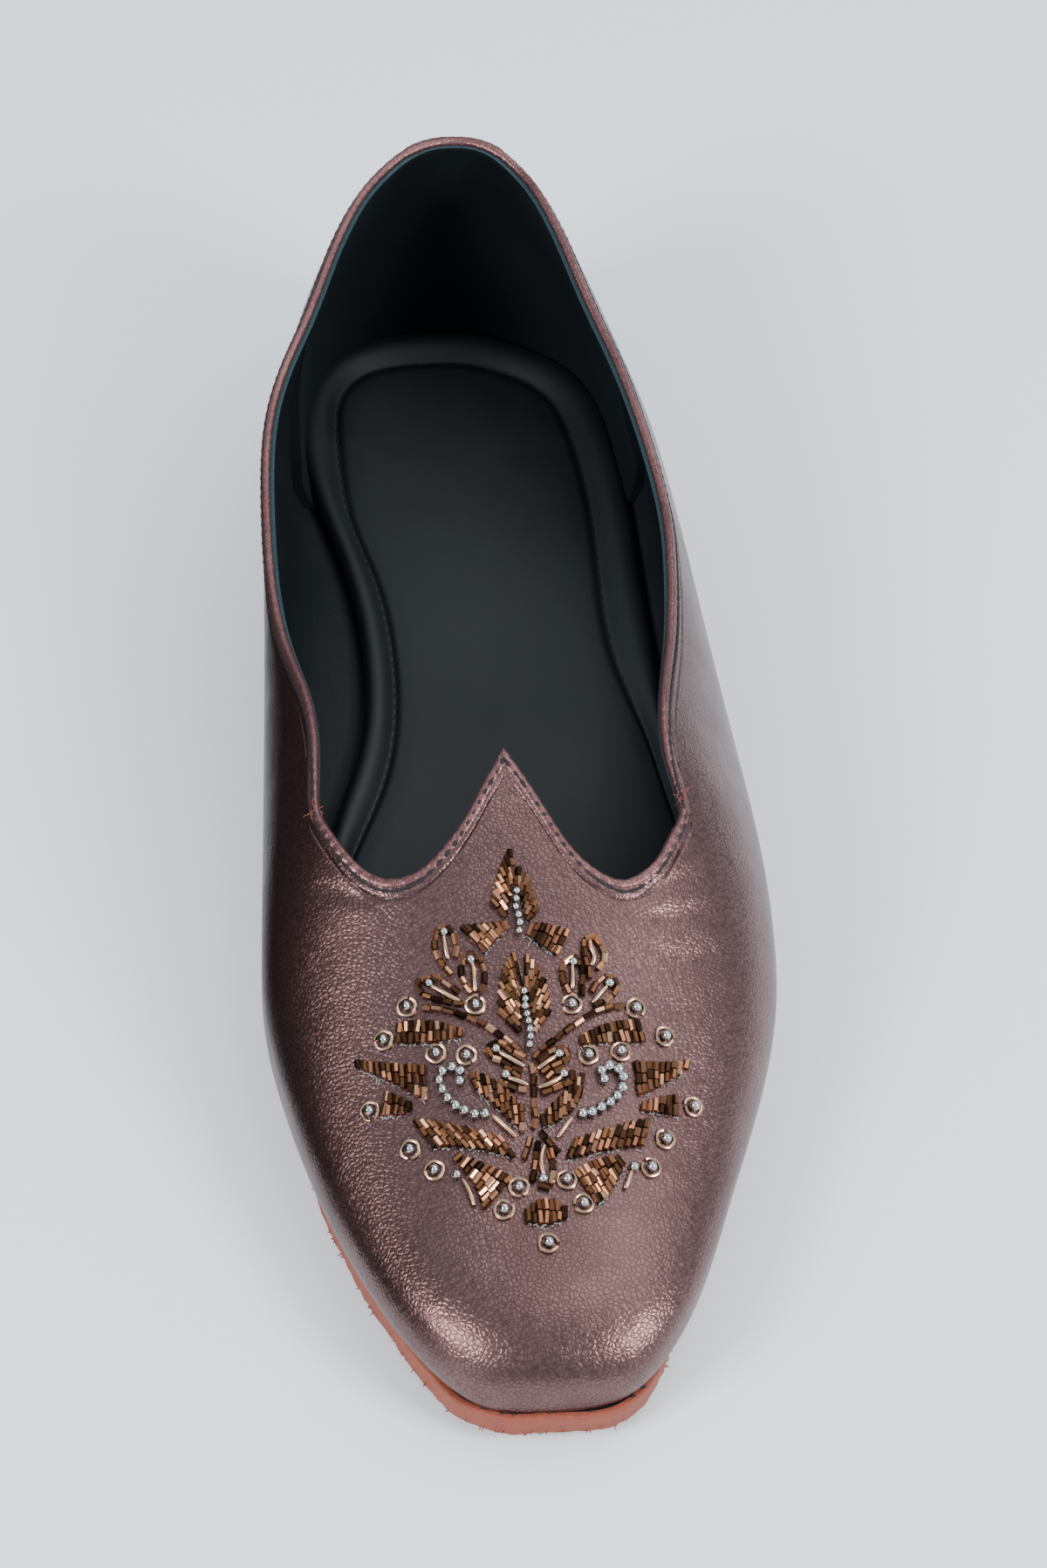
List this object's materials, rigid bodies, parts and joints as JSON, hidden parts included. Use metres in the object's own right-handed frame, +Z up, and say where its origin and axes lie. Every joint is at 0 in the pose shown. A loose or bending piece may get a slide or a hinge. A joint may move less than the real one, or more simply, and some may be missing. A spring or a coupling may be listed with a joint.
{
  "type": "embroidered slip-on shoe",
  "caption": "Flat leather slip-on for a left foot, with a pointed throat, snipped toe, low heel, padded insole and a beaded leaf panel on the vamp.",
  "frame": {"origin": "middle of the object's box, on the floor under the sole", "axes": "+Z up, toe towards -Y, heel towards +Y, inner side of the foot towards -X"},
  "size_m": [0.0878, 0.2536, 0.0575],
  "materials": {
    "upper_leather": "pebbled bronze-mauve foil leather with a soft metallic sheen",
    "folded_edge": "the same leather folded over and stitched, pinker and paler",
    "insole_leather": "smooth black lining leather, softly shiny",
    "sole_leather": "matt terracotta sole edge",
    "beads": "copper-brown cut glass beads with a metallic lustre"
  },
  "bodies": {
    "root": {"outsole": "sole_leather", "insole": "insole_leather", "upper": "upper_leather", "heel_tab": "upper_leather", "collar_edge": "folded_edge", "throat_edge": "folded_edge", "leaf_top": "beads", "wing_inner": "beads", "wing_outer": "beads", "leaf_centre": "beads", "petal_1_inner": "beads", "petal_2_inner": "beads", "petal_3_inner": "beads", "petal_1_outer": "beads", "petal_2_outer": "beads", "petal_3_outer": "beads", "side_1_inner": "beads", "side_1_outer": "beads", "side_2_inner": "beads", "side_2_outer": "beads", "side_3_inner": "beads", "side_3_outer": "beads", "lower_1_inner": "beads", "lower_1_outer": "beads", "lower_2_inner": "beads", "lower_2_outer": "beads", "bud_1_inner": "beads", "bud_1_outer": "beads", "bud_2_inner": "beads", "bud_2_outer": "beads", "spear": "beads", "fan": "beads"}
  },
  "joints": []
}
